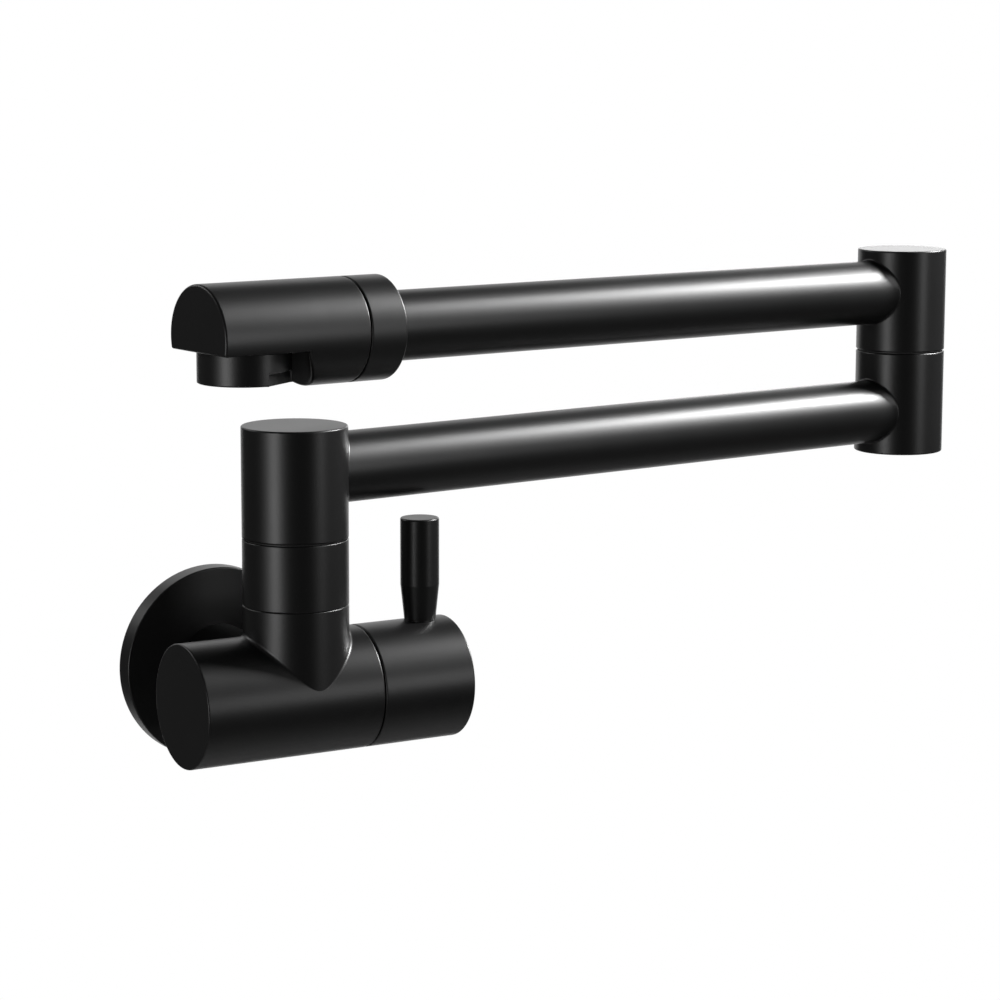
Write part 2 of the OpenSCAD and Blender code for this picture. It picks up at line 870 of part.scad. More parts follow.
module spout_head() {
    step_d = aerator_d + 2 * step_gap;
    color(black_coat)
        difference() {
            along_upper_arm()
                translate([0, 0, head_start + seam_half])
                    bevelled_bar(head_d, head_l - seam_half, edge_bevel);
            // Pocket that turns on the collar
            along_upper_arm()
                translate([0, 0, head_start - overrun])
                    cylinder(d = collar_spigot_d + 2 * turn_gap, h = head_pocket_l + overrun);
            // Flat underside, with a round step behind the aerator
            on_outlet() {
                translate([0, 0, flat_z - head_d])
                    cylinder(d = step_d, h = head_d);
                translate([0, -head_d, flat_z - head_d])
                    cube([head_d, 2 * head_d, head_d]);
            }
            // Thread for the aerator, the room above it, and the way from the pocket
            on_outlet() {
                translate([0, 0, flat_z - overrun])
                    cylinder(d = aerator_thread_d + 2 * fixed_gap, h = ceiling_z - flat_z + overrun);
                translate([0, 0, flat_z])
                    cylinder(d = head_cavity_d, h = head_cavity_top + flat_drop);
            }
            upper_arm_frame()
                translate([head_start + head_pocket_l - overrun, 0, passage_z - upper_arm_z])
                    rotate([0, 90, 0])
                        cylinder(d = passage_d, h = outlet_at - head_start - head_pocket_l + overrun);
            // Thread of the set screw, from below
            upper_arm_frame()
                translate([head_start + retaining_groove_at, 0, -head_d / 2 - overrun])
                    cylinder(d = grub_d + 2 * fixed_gap, h = head_d / 2 + overrun);
        }
}

module spout_grub_screw() {
    tip = collar_spigot_d / 2 - retaining_groove_depth + turn_gap;
    color(steel)
        upper_arm_frame()
            translate([head_start + retaining_groove_at, 0, -tip - grub_l])
                rotate([180, 0, 0])
                    set_screw(grub_l);
}

module aerator_washer() {
    color(rubber)
        on_outlet()
            translate([0, 0, neck_top_z])
                flat_ring(aerator_thread_d, head_cavity_d, aerator_washer_t);
}

module aerator_insert() {
    bottom = flat_z - aerator_h + aerator_lip_t;
    top = neck_top_z;
    insert_h = top - bottom;
    color(plastic)
        on_outlet()
            translate([0, 0, bottom])
                difference() {
                    cylinder(d = aerator_bore_d - 2 * fixed_gap, h = insert_h);
                    for (ring = [0:len(jet_counts) - 1])
                        for (i = [0:jet_counts[ring] - 1])
                            rotate([0, 0, i * 360 / jet_counts[ring]])
                                translate([ring * jet_ring_pitch, 0, 0])
                                    through_hole(jet_d, 0, insert_h);
                    translate([0, 0, insert_h - insert_recess])
                        cylinder(d = head_cavity_d, h = insert_recess + overrun);
                }
}

module aerator_housing() {
    bottom = flat_z - aerator_h;
    color(black_coat)
        on_outlet()
            difference() {
                union() {
                    translate([0, 0, bottom])
                        bevelled_bar(aerator_d, aerator_h, fine_bevel);
                    translate([0, 0, flat_z - overrun])
                        cylinder(d = aerator_thread_d, h = aerator_neck_h + overrun);
                }
                translate([0, 0, bottom + aerator_lip_t])
                    cylinder(d = aerator_bore_d, h = aerator_h + aerator_neck_h);
                through_hole(aerator_bore_d - 2 * aerator_lip_w, bottom, flat_z);
                // Two slots for the key that unscrews it
                for (side = [0, 180])
                    rotate([0, 0, key_slot_angle + side - 180 - upper_angle])
                        translate([
                            aerator_d / 2 - key_slot_depth, -key_slot_w / 2, bottom - overrun
                        ])
                            cube([aerator_d, key_slot_w, key_slot_h + overrun]);
            }
}

valve_body();
wall_flange();
flange_o_ring();
flange_gasket();
inlet_nipple();
inlet_washer();
cartridge_housing();
cartridge_seal();
ceramic_disc_fixed();
ceramic_disc_moving();
cartridge_spindle();
spindle_o_ring();
cartridge_nut();
hub_slip_ring();
handle_hub();
handle_lever();
hub_grub_screw();
riser_sleeve();
swivel_spigot();
swivel_split_ring();
swivel_o_rings();
swivel_washer();
swivel_barrel();
lower_arm_tube();
elbow_lower_barrel();
elbow_gland_nut();
elbow_washer();
elbow_post();
elbow_split_ring();
elbow_o_rings();
elbow_upper_barrel();
upper_arm_tube();
spout_collar();
spout_o_ring();
spout_head();
spout_grub_screw();
aerator_washer();
aerator_insert();
aerator_housing();
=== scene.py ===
"""The looks of a wall mounted pot filler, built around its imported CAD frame.

Lengths are in metres and places are in the frame of the CAD part: the origin is on the wall, on the
axis of the inlet, +X is to the right, -Y is into the room and +Z is up.
"""

import json
import logging
import math
from collections.abc import Callable, Mapping, Sequence
from dataclasses import dataclass, field
from enum import Enum

import bpy
from mathutils import Matrix, Vector

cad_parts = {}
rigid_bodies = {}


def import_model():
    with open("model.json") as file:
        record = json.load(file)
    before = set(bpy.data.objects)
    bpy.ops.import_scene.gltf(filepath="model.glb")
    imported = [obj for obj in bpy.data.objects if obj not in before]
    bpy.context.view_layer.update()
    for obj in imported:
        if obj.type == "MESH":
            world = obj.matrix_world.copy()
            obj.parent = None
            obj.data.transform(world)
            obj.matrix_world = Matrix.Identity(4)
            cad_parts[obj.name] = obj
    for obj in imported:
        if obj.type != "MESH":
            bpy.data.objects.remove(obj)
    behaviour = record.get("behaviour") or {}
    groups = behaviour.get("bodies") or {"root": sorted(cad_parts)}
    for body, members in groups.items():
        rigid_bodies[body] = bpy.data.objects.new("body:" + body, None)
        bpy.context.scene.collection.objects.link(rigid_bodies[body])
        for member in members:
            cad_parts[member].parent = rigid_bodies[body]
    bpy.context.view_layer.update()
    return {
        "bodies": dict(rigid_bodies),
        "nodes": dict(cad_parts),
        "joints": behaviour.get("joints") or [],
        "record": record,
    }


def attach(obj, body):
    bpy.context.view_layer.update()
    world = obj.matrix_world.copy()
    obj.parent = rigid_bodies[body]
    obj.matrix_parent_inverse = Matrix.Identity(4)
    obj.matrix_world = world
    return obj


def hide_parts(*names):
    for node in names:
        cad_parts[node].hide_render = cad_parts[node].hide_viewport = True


LOG = logging.getLogger("pot_filler")
MM = 0.001
Colour = tuple[float, float, float]
Point = tuple[float, float, float]

BARREL_AXIS: Point = (0, -58 * MM, 0)
BARREL_RADIUS = 19.2 * MM
RISER_XY = (1.3 * MM, -60.4 * MM)
RISER_RADIUS = 16.3 * MM
ELBOW_XY = (254.6254 * MM, -31.2237 * MM)
ELBOW_RADIUS = 15.4 * MM
LOWER_ARM_Z = 69.34 * MM
UPPER_ARM_Z = 111.14 * MM
UPPER_ARM_TURN = math.radians(185.52)
PLAIN_BEVEL = 0.5 * MM
FINE_BEVEL = 0.3 * MM
SMOOTH_ANGLE = math.radians(32)
SHARP_ANGLE = math.radians(35)
NEAR = 0.1 * MM


class Slot(Enum):
    """The record's material slots."""

    BLACK_COAT = "black_coat"
    RAW_BRASS = "raw_brass"
    SCREW_STEEL = "screw_steel"
    RUBBER = "rubber"
    FOAM = "foam"
    CERAMIC = "ceramic"
    SLIDE_PLASTIC = "slide_plastic"
    AERATOR_PLASTIC = "aerator_plastic"


class Sheet:
    """The node tree of one material, and the one method that makes its nodes."""

    def __init__(self, tree: bpy.types.NodeTree) -> None:
        """Empties the node tree of a material or of the world."""
        self.tree = tree
        tree.nodes.clear()

    def node(
        self,
        kind: str,
        settings: Mapping[str, object] | None = None,
        sockets: Mapping[str | int, object] | None = None,
    ) -> bpy.types.Node:
        """Makes one node.

        Args:
            kind: the node's type.
            settings: its properties, which are set first.
            sockets: a value, a Wire or an output for each input, by name or number.

        Returns:
            The new node.
        """
        made = self.tree.nodes.new(kind)
        for name, value in (settings or {}).items():
            setattr(made, name, value)
        for name, value in (sockets or {}).items():
            self.feed(made.inputs[name], value)
        return made

    def feed(self, socket: bpy.types.NodeSocket, value: object) -> None:
        """Gives an input a value or a link.

        Args:
            socket: the input.
            value: a Wire, an output, a colour or a number.
        """
        if isinstance(value, Wire):
            self.tree.links.new(value.socket, socket)
        elif isinstance(value, bpy.types.NodeSocket):
            self.tree.links.new(value, socket)
        elif socket.type == "RGBA" and len(value) == 3:
            socket.default_value = (*value, 1)
        else:
            socket.default_value = value


class Wire:
    """A socket that carries one number. Arithmetic on it adds Math nodes."""

    def __init__(self, sheet: Sheet, socket: bpy.types.NodeSocket) -> None:
        """Wraps a socket of a sheet."""
        self.sheet = sheet
        self.socket = socket

    def maths(self, operation: str, *values: object) -> "Wire":
        """Adds a Math node with these values as its inputs, and returns its output."""
        made = self.sheet.node("ShaderNodeMath", {"operation": operation}, dict(enumerate(values)))
        return Wire(self.sheet, made.outputs[0])

    def __add__(self, other: object) -> "Wire":
        """Adds."""
        return self.maths("ADD", self, other)

    __radd__ = __add__

    def __mul__(self, other: object) -> "Wire":
        """Multiplies."""
        return self.maths("MULTIPLY", self, other)

    __rmul__ = __mul__

    def at_most(self, other: object) -> "Wire":
        """The smaller of the two."""
        return self.maths("MINIMUM", self, other)


@dataclass(frozen=True)
class Coat:
    """A fine-grained surface: two close colours in clouds, a grain in its gloss, and both grain and
    shallow waves in its relief.

    Args:
        name: the material's name.
        dark: the darker colour.
        light: the lighter colour.
        roughness: the mean roughness.
        metallic: the metal share.
        ior: the refractive index.
        grain: the width of a grain.
        grain_depth: the depth of the grain's relief.
        peel: the width of the shallow waves under the grain.
        peel_share: the depth of the waves, as a share of the grain's.
        cloud: the width of a cloud of colour.
        cloud_share: the share of the clouds in the colour, where the rest is the grain's.
        uneven: how far the roughness varies either way.
    """

    name: str
    dark: Colour
    light: Colour
    roughness: float
    metallic: float = 0.0
    ior: float = 1.5
    grain: float = 0.4 * MM
    grain_depth: float = 0.01 * MM
    peel: float = 1.8 * MM
    peel_share: float = 0.5
    cloud: float = 14 * MM
    cloud_share: float = 0.6
    uneven: float = 0.03

    def make(self) -> bpy.types.Material:
        """Builds the material.

        Returns:
            The new material.
        """
        material = bpy.data.materials.new(self.name)
        material.use_nodes = True
        sheet = Sheet(material.node_tree)
        place = sheet.node("ShaderNodeTexCoord").outputs["Object"]
        grain = self.noise(sheet, place, self.grain, 2.0)
        cloud = self.noise(sheet, place, self.cloud, 3.0)
        height = grain + self.peel_share * self.noise(sheet, place, self.peel, 1.0)
        lightness = self.cloud_share * cloud + (1 - self.cloud_share) * grain
        shade = sheet.node(
            "ShaderNodeMix",
            {"data_type": "RGBA"},
            {"Factor": lightness, "A": self.dark, "B": self.light},
        )
        relief = sheet.node(
            "ShaderNodeBump", None, {"Strength": 1.0, "Distance": self.grain_depth, "Height": height}
        )
        rough = self.roughness - self.uneven + self.uneven * (cloud + grain)
        surface = sheet.node(
            "ShaderNodeBsdfPrincipled",
            None,
            {
                "Base Color": shade.outputs["Result"],
                "Roughness": rough,
                "Metallic": self.metallic,
                "IOR": self.ior,
                "Normal": relief.outputs["Normal"],
            },
        )
        sheet.node("ShaderNodeOutputMaterial", None, {"Surface": surface.outputs["BSDF"]})
        return material

    def noise(self, sheet: Sheet, place: bpy.types.NodeSocket, width: float, detail: float) -> Wire:
        """Adds a noise.

        Args:
            sheet: the sheet that it goes on.
            place: the output that gives the place.
            width: how wide its spots are, about.
            detail: how many finer layers it has.

        Returns:
            Its level, from 0 to 1.
        """
        made = sheet.node(
            "ShaderNodeTexNoise", None, {"Vector": place, "Scale": 1 / width, "Detail": detail}
        )
        return Wire(sheet, made.outputs["Fac"])


FINISHES: dict[Slot, Coat] = {
    Slot.BLACK_COAT: Coat("black_coat", (0.0028, 0.0028, 0.0029), (0.0045, 0.0045, 0.0046), 0.36),
    Slot.RAW_BRASS: Coat("raw_brass", (0.62, 0.42, 0.17), (0.78, 0.58, 0.28), 0.28, metallic=1.0),
    Slot.SCREW_STEEL: Coat("screw_steel", (0.42, 0.42, 0.44), (0.58, 0.58, 0.6), 0.3, metallic=1.0),
    Slot.RUBBER: Coat("rubber", (0.018, 0.018, 0.018), (0.03, 0.03, 0.03), 0.6),
    Slot.FOAM: Coat("foam", (0.03, 0.03, 0.03), (0.09, 0.09, 0.09), 0.9, grain=0.9 * MM),
    Slot.CERAMIC: Coat("ceramic", (0.82, 0.81, 0.77), (0.9, 0.89, 0.85), 0.12),
    Slot.SLIDE_PLASTIC: Coat("slide_plastic", (0.02, 0.02, 0.02), (0.035, 0.035, 0.035), 0.45),
    Slot.AERATOR_PLASTIC: Coat("aerator_plastic", (0.6, 0.61, 0.63), (0.72, 0.73, 0.75), 0.4),
}


class Workshop:
    """The finishes made so far, and the steps that every new piece goes through."""

    def __init__(self, frame: Mapping[str, object]) -> None:
        self.frame = frame
        self.paints = {slot: finish.make() for slot, finish in FINISHES.items()}

    def hand_over(
        self, piece: bpy.types.Object, name: str, body: str, slot: Slot, instead_of: Sequence[str] = ()
    ) -> None:
        """Names a piece, smooths and paints it, and puts it on its body.

        Args:
            piece: the piece, with its place in its mesh.
            name: its name.
            body: the body that it rides on.
            slot: the slot that it takes its finish from.
            instead_of: the CAD nodes that it replaces.
        """
        piece.name = name
        piece.data.name = name
        pick(piece)
        bpy.ops.object.transform_apply(location=True, rotation=True, scale=True)
        bpy.ops.object.shade_smooth_by_angle(angle=SMOOTH_ANGLE)
        even = piece.modifiers.new("even", "WEIGHTED_NORMAL")
        even.keep_sharp = True
        bpy.ops.object.modifier_apply(modifier=even.name)
        piece.data.materials.clear()
        piece.data.materials.append(self.paints[slot])
        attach(piece, body)
        if instead_of:
            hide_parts(*instead_of)
        LOG.info("%s rides on %s, %d faces", name, body, len(piece.data.polygons))


def pick(piece: bpy.types.Object) -> None:
    """Selects one object alone and makes it the active one.

    Args:
        piece: the object.
    """
    bpy.ops.object.select_all(action="DESELECT")
    piece.select_set(True)
    bpy.context.view_layer.objects.active = piece


def close_form(
    name: str, points: Sequence[Vector | Point], faces: Sequence[Sequence[int]]
) -> bpy.types.Object:
    """Makes an object from the points and faces of a closed form, with all faces turned outwards.

    Args:
        name: the name of its mesh.
        points: its points.
        faces: its faces, as the numbers of their points.

    Returns:
        The object.
    """
    mesh = bpy.data.meshes.new(name)
    mesh.from_pydata(points, [], faces)
    piece = bpy.data.objects.new(name, mesh)
    bpy.context.scene.collection.objects.link(piece)
    pick(piece)
    bpy.ops.object.mode_set(mode="EDIT")
    bpy.ops.mesh.select_all(action="SELECT")
    bpy.ops.mesh.normals_make_consistent(inside=False)
    bpy.ops.object.mode_set(mode="OBJECT")
    return piece


def lay_grid(name: str, columns: Sequence[Sequence[Vector]]) -> bpy.types.Object:
    """Makes a closed piece from lines of points that stand side by side in a ring.

    Args:
        name: the name of its mesh.
        columns: the lines, each with as many points, the last one beside the first.

    Returns:
        The piece, with a flat face over each of its two open ends.
    """
    rows = len(columns[0])
    points = [point for column in columns for point in column]
    faces = []
    for index in range(len(columns)):
        here, there = index * rows, (index + 1) % len(columns) * rows
        for row in range(rows - 1):
            faces.append((here + row, there + row, there + row + 1, here + row + 1))
    faces.append([index * rows for index in range(len(columns))])
    faces.append([index * rows + rows - 1 for index in range(len(columns))])
    return close_form(name, points, faces)


def rod(radius: float, start: float, end: float, sides: int) -> bpy.types.Object:
    """Adds a round bar on the Z axis.

    Args:
        radius: its radius.
        start: where it starts on the axis.
        end: where it ends on the axis.
        sides: how many faces go round it.

    Returns:
        The bar's object.
    """
    bpy.ops.mesh.primitive_cylinder_add(
        vertices=sides, radius=radius, depth=end - start, location=(0, 0, (start + end) / 2)
    )
    bar = bpy.context.object
    bpy.ops.object.transform_apply(location=True, rotation=True, scale=True)
    return bar


def block(low: Point, high: Point) -> bpy.types.Object:
    """Adds a block between two corners.

    Args:
        low: its lowest corner.
        high: its highest corner.

    Returns:
        The block's object.
    """
    middle = [(a + b) / 2 for a, b in zip(low, high)]
    bpy.ops.mesh.primitive_cube_add(size=1, location=middle)
    made = bpy.context.object
    made.scale = [b - a for a, b in zip(low, high)]
    bpy.ops.object.transform_apply(location=True, rotation=True, scale=True)
    return made


def carve(piece: bpy.types.Object, tool: bpy.types.Object, operation: str = "DIFFERENCE") -> None:
    """Cuts a tool out of a piece, or joins the two, and removes the tool.

    Args:
        piece: the piece that stays.
        tool: the other object.
        operation: the Boolean modifier's operation.
    """
    pick(piece)
    cut = piece.modifiers.new("cut", "BOOLEAN")
    cut.operation = operation
    cut.solver = "EXACT"
    cut.object = tool
    bpy.ops.object.modifier_apply(modifier=cut.name)
    bpy.data.objects.remove(tool)


def round_edges(
    piece: bpy.types.Object, radius: float, wanted: Callable[[Vector], bool], steps: int = 4
) -> None:
    """Rounds the sharp edges of a piece whose middles pass a test.

    Args:
        piece: the piece.
        radius: the radius of the rounding.
        wanted: tells of the middle of an edge whether the edge is rounded.
        steps: how many faces go over the rounding.
    """
    pick(piece)
    bpy.ops.object.mode_set(mode="EDIT")
    bpy.ops.mesh.select_all(action="DESELECT")
    bpy.ops.mesh.select_mode(type="EDGE")
    bpy.ops.mesh.edges_select_sharp(sharpness=SHARP_ANGLE)
    bpy.ops.object.mode_set(mode="OBJECT")
    corners = piece.data.vertices
    for edge in piece.data.edges:
        middle = (corners[edge.vertices[0]].co + corners[edge.vertices[1]].co) / 2
        edge.select = edge.select and wanted(middle)
    bpy.ops.object.mode_set(mode="EDIT")
    bpy.ops.mesh.bevel(offset=radius, segments=steps, profile=0.5, clamp_overlap=False)
    bpy.ops.object.mode_set(mode="OBJECT")


@dataclass(frozen=True)
class Fillet:
    """The hollow bead in the corner where one round bar leaves another at a right angle.

    Its shape is the one that a ball leaves as it rolls round the corner, which no operator makes, so its
    points are worked out here.

    Args:
        main_point: a place on the main bar's axis.
        main_axis: the direction of the main bar.
        main_radius: the radius of the main bar.
        branch_point: a place on the branch's axis.
        branch_axis: the direction in which the branch leaves.
        branch_radius: the radius of the branch.
        radius: the radius of the ball.
        places: how many places the ball is taken at.
        steps: how many faces go over the bead.
        sunk: how deep the bead's back lies in the two bars.
    """

    main_point: Vector
    main_axis: Vector
    main_radius: float
    branch_point: Vector
    branch_axis: Vector
    branch_radius: float
    radius: float
    places: int = 128
    steps: int = 10
    sunk: float = 0.3 * MM

    def section(self, turn: float) -> list[Vector]:
        """The bead's outline at one place round the branch.

        Args:
            turn: the angle round the branch.

        Returns:
            The points over the face of the bead, and last the one behind it.
        """
        side = self.branch_axis.cross(self.main_axis)
        out = self.main_axis * math.cos(turn) + side * math.sin(turn)
        reach = self.branch_radius + self.radius
        offset = self.branch_point - self.main_point
        over = offset.dot(side) + reach * math.sin(turn)
        rise = math.sqrt((self.main_radius + self.radius) ** 2 - over**2)
        ball = self.branch_point + out * reach
        ball += self.branch_axis * (rise - offset.dot(self.branch_axis))
        to_branch = -out
        to_main = -(side * over + self.branch_axis * rise).normalized()
        spread = to_branch.angle(to_main)
        face = []
        for step in range(self.steps + 1):
            part = step / self.steps
            way = (
                to_branch * math.sin((1 - part) * spread) + to_main * math.sin(part * spread)
            ) / math.sin(spread)
            face.append(ball + way * self.radius)
        behind = (to_branch + to_main).normalized()
        face.append(ball + behind * (self.radius / math.cos(spread / 2) + self.sunk))
        return face

    def sections(self) -> list[list[Vector]]:
        """The outlines of the bead, once round the branch."""
        return [self.section(2 * math.pi * place / self.places) for place in range(self.places)]


@dataclass(frozen=True)
class RoundedRim:
    """The rounding over the flat bevel at the end of a round piece.

    Args:
        centre: the middle of the end face.
        outward: the direction in which the end face looks.
        radius: the radius of the piece.
        bevel: the radius of the rounding, which is also the width of the bevel under it.
        places: how many sections it has.
        steps: how many faces go over it.
        sunk: how deep its back lies in the piece.
    """

    centre: Vector
    outward: Vector
    radius: float
    bevel: float = PLAIN_BEVEL
    places: int = 144
    steps: int = 6
    sunk: float = 0.05 * MM

    def sections(self) -> list[list[Vector]]:
        """The outlines of the rounding, once round the axis.

        Returns:
            For each place round the axis, the points over the rounding and last the one behind it.
        """
        across = self.outward.orthogonal().normalized()
        beside = self.outward.cross(across)
        rings = []
        for place in range(self.places):
            turn = 2 * math.pi * place / self.places
            out = across * math.cos(turn) + beside * math.sin(turn)
            middle = self.centre + out * (self.radius - self.bevel) - self.outward * self.bevel
            ring = []
            for step in range(self.steps + 1):
                tilt = math.pi / 2 * step / self.steps
                ring.append(middle + (out * math.sin(tilt) + self.outward * math.cos(tilt)) * self.bevel)
            ring.append(middle - (out + self.outward) * self.sunk)
            rings.append(ring)
        return rings


def lay_rings(name: str, groups: Sequence[Sequence[Sequence[Vector]]]) -> bpy.types.Object:
    """Makes closed rings, each from the outlines that stand round it.

    Args:
        name: the name of the mesh.
        groups: for each ring its outlines, each a closed line of as many points.

    Returns:
        The object that holds all the rings.
    """
    points, faces = [], []
    for sections in groups:
        first, around = len(points), len(sections[0])
        for section in sections:
            points.extend(section)
        for place in range(len(sections)):
            here = first + place * around
            there = first + (place + 1) % len(sections) * around
            for step in range(around):
                after = (step + 1) % around
                faces.append((here + step, here + after, there + after, there + step))
    return close_form(name, points, faces)


@dataclass
class ValveBody:
    """The cast body on its flange: fillets at the foot of the riser and of the neck, and rounded rims.

    Args:
        barrel_axis: a place on the axis of the level barrel.
        barrel_radius: the radius of the barrel.
        barrel_ends: where its two end faces are, along X.
        riser_axis: a place on the axis of the riser.
        riser_radius: the radius of the riser.
        neck_radius: the radius of the neck to the wall.
        riser_fillet: the radius of the fillet at the riser's foot.
        neck_fillet: the radius of the fillet where the neck leaves the barrel.
        flange_radius: the radius of the wall flange.
        flange_front: where the flange's front face is, along Y.
    """

    barrel_axis: Point = BARREL_AXIS
    barrel_radius: float = BARREL_RADIUS
    barrel_ends: tuple[float, float] = (-36.2 * MM, 23.3 * MM)
    riser_axis: Point = (*RISER_XY, 0)
    riser_radius: float = RISER_RADIUS
    neck_radius: float = 13 * MM
    riser_fillet: float = 1.4 * MM
    neck_fillet: float = 1.6 * MM
    flange_radius: float = 31.4 * MM
    flange_front: float = -6.8 * MM

    def build(self, shop: Workshop) -> None:
        """Makes the fillets and the rims.

        Args:
            shop: the workshop that finishes the pieces.
        """
        right, up, back = Vector((1, 0, 0)), Vector((0, 0, 1)), Vector((0, 1, 0))
        axis, riser = Vector(self.barrel_axis), Vector(self.riser_axis)
        barrel = (axis, right, self.barrel_radius)
        foot = Fillet(*barrel, riser, up, self.riser_radius, self.riser_fillet)
        neck = Fillet(*barrel, Vector((0, 0, 0)), back, self.neck_radius, self.neck_fillet)
        for name, bead in (("riser_foot_fillet", foot), ("neck_fillet", neck)):
            shop.hand_over(lay_rings(name, [bead.sections()]), name, "wall_body", Slot.BLACK_COAT)
        left_end, right_end = self.barrel_ends
        rims = [
            RoundedRim(axis + right * left_end, -right, self.barrel_radius),
            RoundedRim(axis + right * right_end, right, self.barrel_radius),
            RoundedRim(back * self.flange_front, -back, self.flange_radius),
        ]
        rings = lay_rings("body_rims", [rim.sections() for rim in rims])
        shop.hand_over(rings, "body_rims", "wall_body", Slot.BLACK_COAT)


@dataclass
class Handle:
    """The rims of the hub and of the lever.

    Args:
        axis: a place on the hub's axis.
        radius: the radius of the hub.
        ends: where its two end faces are, along X.
        lever_top: the middle of the lever's top face.
        lever_radius: the radius of the lever's top.
    """

    axis: Point = BARREL_AXIS
    radius: float = BARREL_RADIUS
    ends: tuple[float, float] = (23.7 * MM, 55.1 * MM)
    lever_top: Point = (45.9 * MM, -58 * MM, 51.3 * MM)
    lever_radius: float = 6.1 * MM

    def build(self, shop: Workshop) -> None:
        """Makes the rims.

        Args:
            shop: the workshop that finishes the pieces.
        """
        right, axis = Vector((1, 0, 0)), Vector(self.axis)
        rims = [
            RoundedRim(axis + right * self.ends[0], -right, self.radius),
            RoundedRim(axis + right * self.ends[1], right, self.radius),
            RoundedRim(Vector(self.lever_top), Vector((0, 0, 1)), self.lever_radius),
        ]
        rings = lay_rings("handle_rims", [rim.sections() for rim in rims])
        shop.hand_over(rings, "handle_rims", "handle", Slot.BLACK_COAT)


@dataclass
class Post:
    """The rims of an upright barrel that rides on one body.

    Args:
        name: the name of the piece.
        body: the body that it rides on.
        axis: a place on its axis, as x and y.
        radius: its radius.
        rims: the height of each rim, whether it looks up, and the width of its bevel.
    """

    name: str
    body: str
    axis: tuple[float, float]
    radius: float
    rims: Sequence[tuple[float, bool, float]]

    def build(self, shop: Workshop) -> None:
        """Makes the rims.

        Args:
            shop: the workshop that finishes the pieces.
        """
        up = Vector((0, 0, 1))
        rings = [
            RoundedRim(Vector((*self.axis, z)), up if is_top else -up, self.radius, bevel).sections()
            for z, is_top, bevel in self.rims
        ]
        shop.hand_over(lay_rings(self.name, rings), self.name, self.body, Slot.BLACK_COAT)


@dataclass
class SwingArm:
    """One arm: the beads of solder where its tube enters the upright barrels at its ends.

    Args:
        name: the arm's name, which is also its body's name.
        root: a place on the axis of the barrel that carries it.
        root_radius: the radius of that barrel.
        axis: the direction of the tube, away from the root.
        height: the height of the tube's axis.
        far: a place on the axis of the barrel at its far end, or None where the collar ends it.
        far_radius: the radius of the far barrel.
        collar: where the collar starts and ends, from the root, or None.
        collar_radius: the radius of the collar.
        tube_radius: the radius of the tube.
        solder: the radius of the bead.
    """

    name: str
    root: tuple[float, float]
    root_radius: float
    axis: Point
    height: float
    far: tuple[float, float] | None = None
    far_radius: float = 0.0
    collar: tuple[float, float] | None = None
    collar_radius: float = 16.35 * MM
    tube_radius: float = 11 * MM
    solder: float = 0.8 * MM

    def build(self, shop: Workshop) -> None:
        """Makes the beads, and the rims of the collar.

        Args:
            shop: the workshop that finishes the pieces.
        """
        along = Vector(self.axis).normalized()
        ends = [("root", self.root, self.root_radius, along)]
        if self.far:
            ends.append(("tip", self.far, self.far_radius, -along))
        for end, place, radius, way in ends:
            post = Vector((*place, self.height))
            bead = Fillet(post, Vector((0, 0, 1)), radius, post, way, self.tube_radius, self.solder)
            name = f"{self.name}_{end}_solder"
            shop.hand_over(lay_rings(name, [bead.sections()]), name, self.name, Slot.BLACK_COAT)
        if self.collar:
            foot = Vector((*self.root, self.height))
            rims = [
                RoundedRim(foot + along * self.collar[0], -along, self.collar_radius),
                RoundedRim(foot + along * self.collar[1], along, self.collar_radius),
            ]
            rings = lay_rings("collar_rims", [rim.sections() for rim in rims])
            shop.hand_over(rings, "collar_rims", self.name, Slot.BLACK_COAT)


